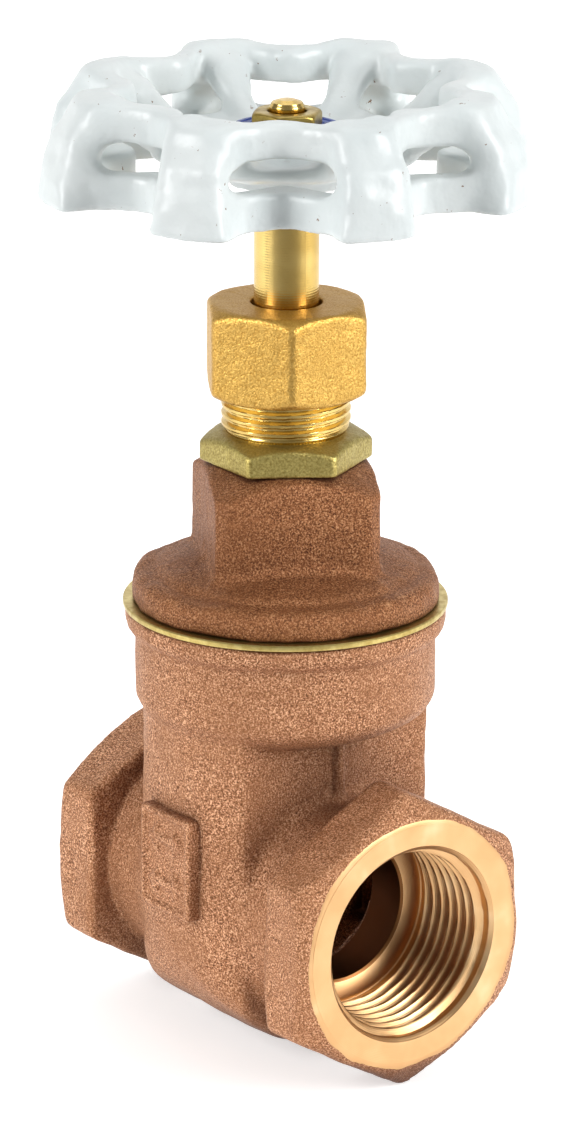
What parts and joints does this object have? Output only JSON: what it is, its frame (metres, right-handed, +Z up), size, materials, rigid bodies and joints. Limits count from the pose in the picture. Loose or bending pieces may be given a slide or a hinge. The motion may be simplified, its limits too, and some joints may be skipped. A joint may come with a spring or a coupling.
{
  "type": "gate valve",
  "caption": "Bronze gate valve with threaded pipe ends, screwed bonnet, packing nut, non-rising stem, sliding wedge and white scalloped handwheel.",
  "frame": {"origin": "on the stem axis, level with the lowest corners of the wrench hexagons", "axes": "+X along the flow axis out of the outlet, +Z up the stem, -Y towards the raised flow pad"},
  "size_m": [0.0634, 0.0634, 0.1312],
  "materials": {
    "cast_bronze": "sand-cast, rough, machined at the faces and threads",
    "forged_brass": "blasted, satin",
    "turned_brass": "turned, bright",
    "packing": "braided graphite yarn, matte",
    "white_enamel": "thick white enamel over a casting, semi-gloss",
    "blue_enamel": "blue lacquer on a thin plate, gloss"
  },
  "bodies": {
    "valve_body": {"body": "cast_bronze", "bonnet": "cast_bronze", "stuffing_box": "turned_brass", "packing_ring_1": "packing", "packing_ring_2": "packing", "packing_ring_3": "packing", "packing_ring_4": "packing"},
    "stem_and_wheel": {"stem": "turned_brass", "handwheel": "white_enamel", "identification_plate": "blue_enamel", "handwheel_nut": "turned_brass"},
    "gate": {"wedge": "cast_bronze"},
    "gland": {"packing_gland": "turned_brass"},
    "packing_nut": {"packing_nut": "forged_brass"}
  },
  "joints": [
    {"name": "handwheel_spin", "type": "hinge", "parent": "valve_body", "child": "stem_and_wheel", "pos_m": [0, 0, 0.12], "axis": [0, 0, 1], "range_deg": [-2494.49, 0]},
    {"name": "wedge_lift", "type": "slide", "parent": "valve_body", "child": "gate", "axis": [0, 0, 1], "range_m": [-0.022, 0]},
    {"name": "gland_slide", "type": "slide", "parent": "valve_body", "child": "gland", "axis": [0, 0, 1], "range_m": [-0.00191, 0], "deforming": ["packing_ring_1", "packing_ring_2", "packing_ring_3", "packing_ring_4"]},
    {"name": "packing_nut_turn", "type": "hinge", "parent": "gland", "child": "packing_nut", "pos_m": [0, 0, 0.095], "axis": [0, 0, 1], "range_deg": [-540, 0]}
  ],
  "couplings": [
    {"joint": "wedge_lift", "follows": "handwheel_spin", "m_per_rad": 0.00050532},
    {"joint": "packing_nut_turn", "follows": "gland_slide", "rad_per_m": 4947.4}
  ]
}
